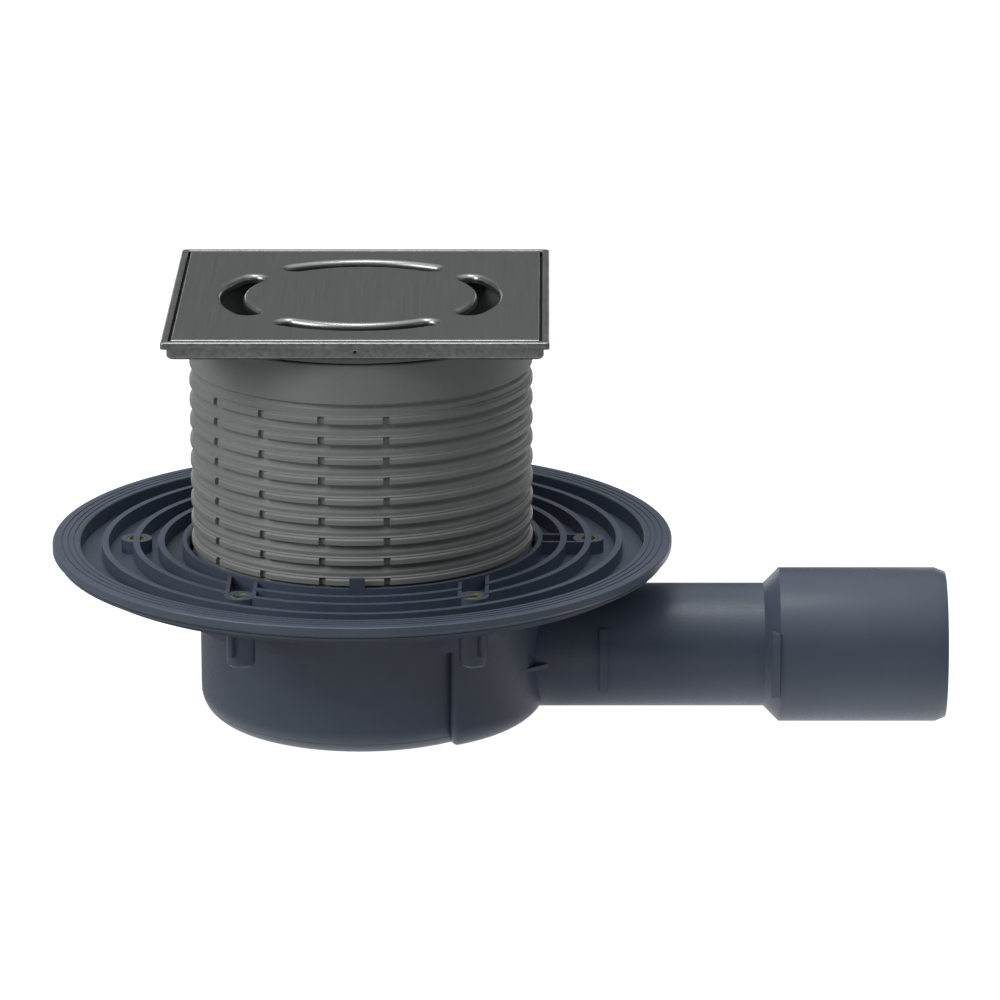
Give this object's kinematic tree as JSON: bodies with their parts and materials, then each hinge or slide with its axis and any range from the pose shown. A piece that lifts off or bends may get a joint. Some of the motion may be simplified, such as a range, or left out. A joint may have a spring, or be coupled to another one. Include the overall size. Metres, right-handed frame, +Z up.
{
  "type": "floor drain with water trap and extension tube",
  "caption": "Shower floor drain: square slotted grate on a ribbed height-adjustable tube, round clamping flange, trap bowl and side outlet.",
  "frame": {"origin": "centre of the bowl's flat base, on the drain's vertical axis", "axes": "+Z up along the drain's axis, +X along the outlet, away from the bowl"},
  "size_m": [0.2888, 0.2, 0.1422],
  "materials": {
    "body_plastic": "dark slate-blue moulded plastic, satin",
    "tube_plastic": "mid grey moulded plastic, satin",
    "insert_plastic": "dark grey moulded plastic",
    "rubber": "black sealing rubber",
    "brass": "turned brass",
    "frame_steel": "cast stainless steel, finely textured",
    "grate_steel": "stainless steel, brushed along Y"
  },
  "bodies": {
    "drain_body": {"drain_body": "body_plastic", "threaded_insert_1": "brass", "threaded_insert_2": "brass", "threaded_insert_3": "brass", "threaded_insert_4": "brass", "threaded_insert_5": "brass", "threaded_insert_6": "brass", "trap_funnel": "insert_plastic", "trap_ring": "rubber", "trap_cup": "insert_plastic"},
    "seal": {"extension_seal": "rubber"},
    "extension": {"extension_tube": "tube_plastic", "neck_ring": "tube_plastic", "grate_frame": "frame_steel", "grate": "grate_steel"}
  },
  "joints": [
    {"name": "height_slide", "type": "slide", "parent": "drain_body", "child": "seal", "axis": [0, 0, 1], "range_m": [0, 0.012]},
    {"name": "tube_turn", "type": "hinge", "parent": "seal", "child": "extension", "pos_m": [0, 0, 0.0447], "axis": [0, 0, 1], "continuous": true}
  ]
}
